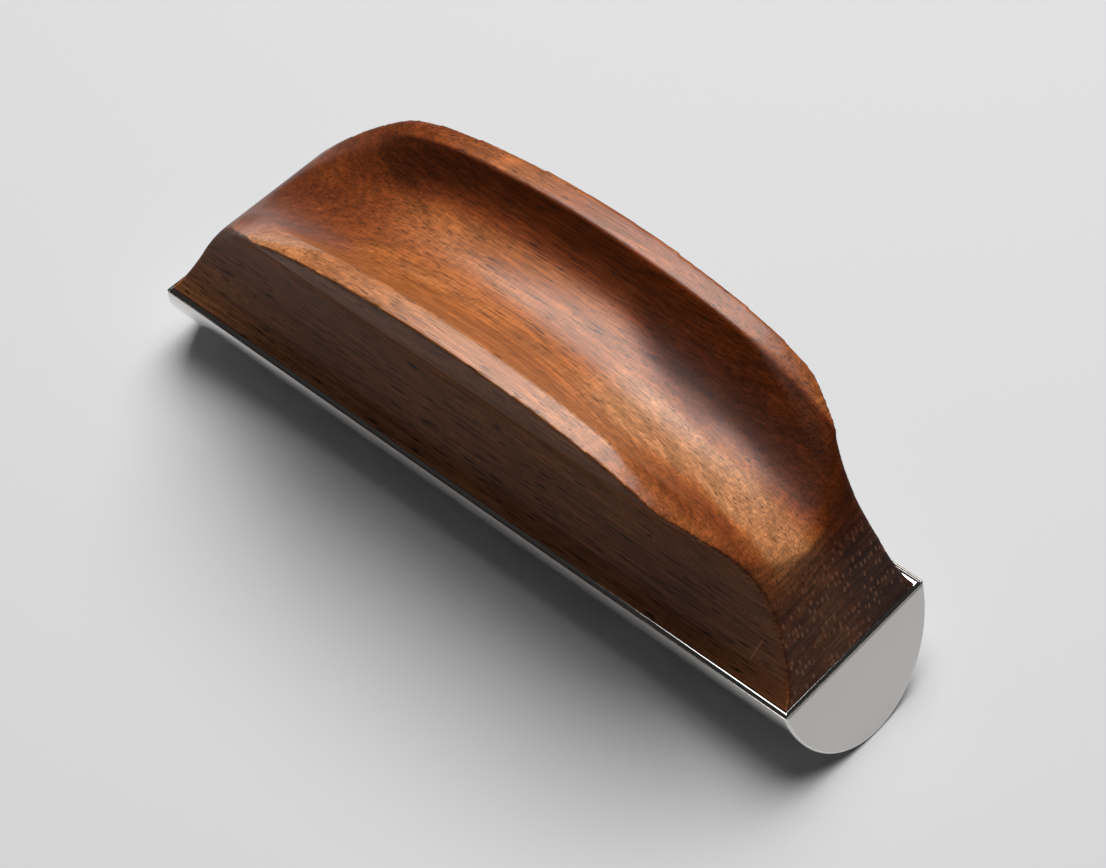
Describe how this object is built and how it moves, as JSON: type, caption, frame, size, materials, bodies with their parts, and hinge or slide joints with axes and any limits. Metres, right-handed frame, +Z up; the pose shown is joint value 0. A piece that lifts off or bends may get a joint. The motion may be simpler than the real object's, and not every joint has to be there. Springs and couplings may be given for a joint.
{
  "type": "guitar steel with wooden grip",
  "caption": "Round-nosed steel slide bar for lap-style guitar, with a waisted hardwood grip and a finger trough along its top.",
  "frame": {"origin": "on the lowest line of the rounded playing surface, under the middle of the bar's overall length", "axes": "+X along the bar towards the end face that leans more, +Y across it, +Z up through the grip"},
  "size_m": [0.0892, 0.0248, 0.0329],
  "materials": {
    "bar_steel": "mirror polished barrel, satin end faces",
    "hardwood": "oiled, satin",
    "glue": "cured epoxy",
    "pin_steel": "ground"
  },
  "bodies": {
    "root": {"steel_bar": "bar_steel", "wood_grip": "hardwood", "glue_film": "glue", "left_pin": "pin_steel", "right_pin": "pin_steel"}
  },
  "joints": []
}
